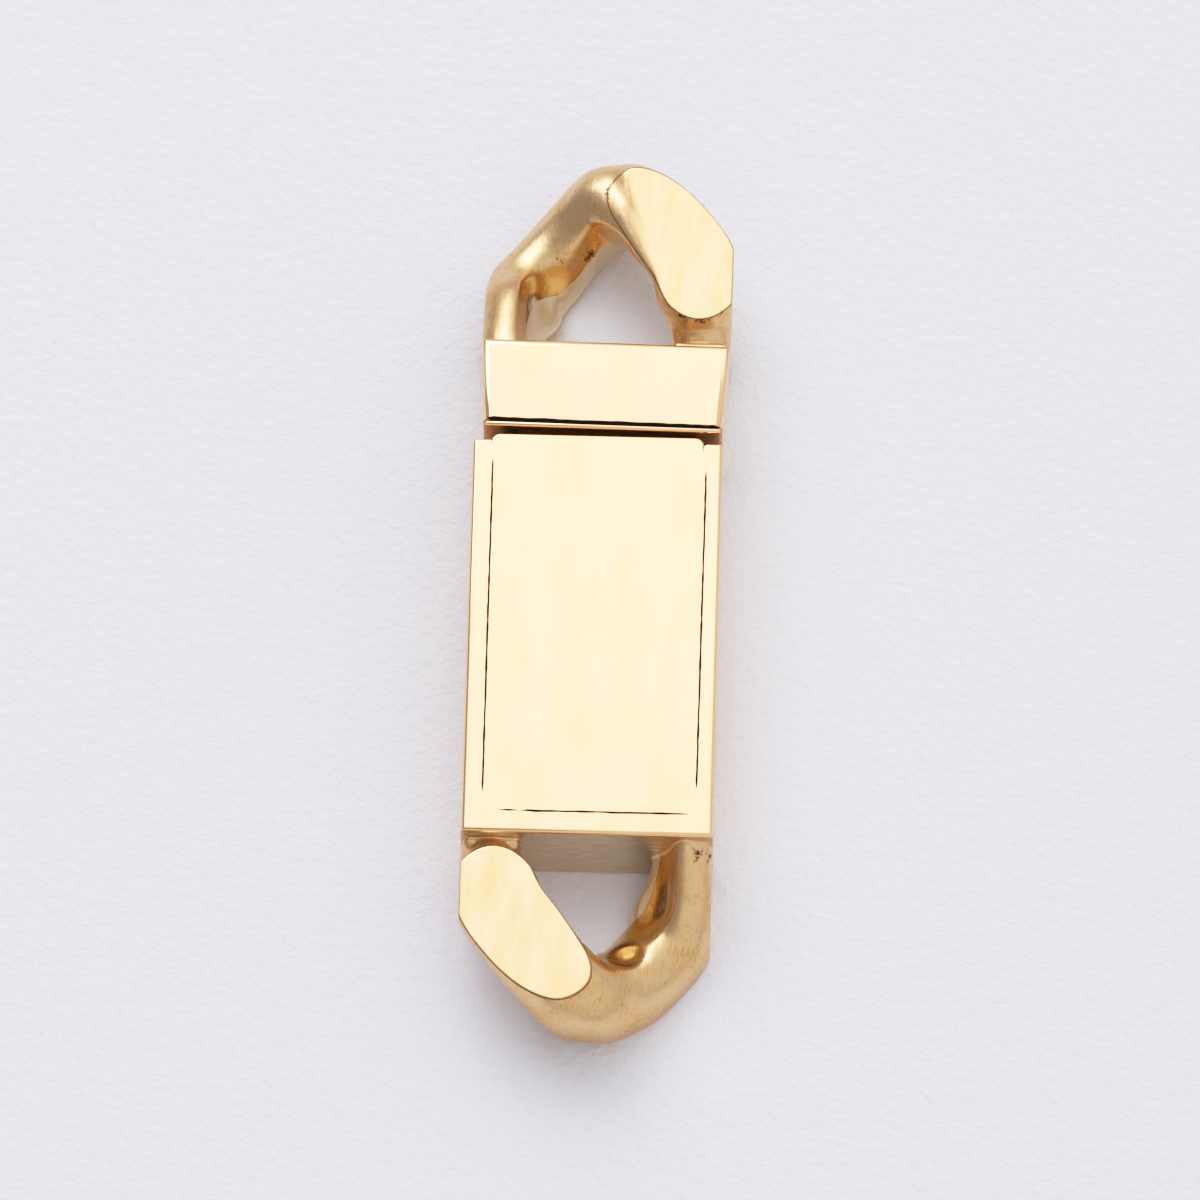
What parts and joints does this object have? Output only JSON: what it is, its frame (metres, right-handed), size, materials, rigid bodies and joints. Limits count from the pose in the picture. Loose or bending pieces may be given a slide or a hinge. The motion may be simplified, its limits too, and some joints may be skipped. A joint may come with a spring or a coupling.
{
  "type": "insert clasp",
  "caption": "Push-in insert clasp for a flat curb chain: a rectangular housing with an inset cover plate, an insert with a spring leaf, and a half curb link soldered to each end.",
  "frame": {"origin": "under the middle of the fastened clasp, on the surface it lies on; x = 0 is the housing's middle", "axes": "+Y from the housing's link to the insert's link, +Z out of the polished face with the cover plate, +X to the right"},
  "size_m": [0.0123, 0.0456, 0.0048],
  "materials": {
    "polished_gold_plate": "gold-coloured vapour-deposited coating on polished stainless steel",
    "satin_gold_plate": "gold-coloured vapour-deposited coating on tumbled stainless steel"
  },
  "bodies": {
    "housing": {"housing": "polished_gold_plate", "cover_plate": "polished_gold_plate"},
    "insert": {"insert_head": "polished_gold_plate", "tongue": "satin_gold_plate", "spring_leaf": "satin_gold_plate"}
  },
  "joints": [
    {"name": "insert_slide", "type": "slide", "parent": "housing", "child": "insert", "axis": [0, 1, 0], "range_m": [0, 0.0185], "deforming": ["spring_leaf"]}
  ]
}
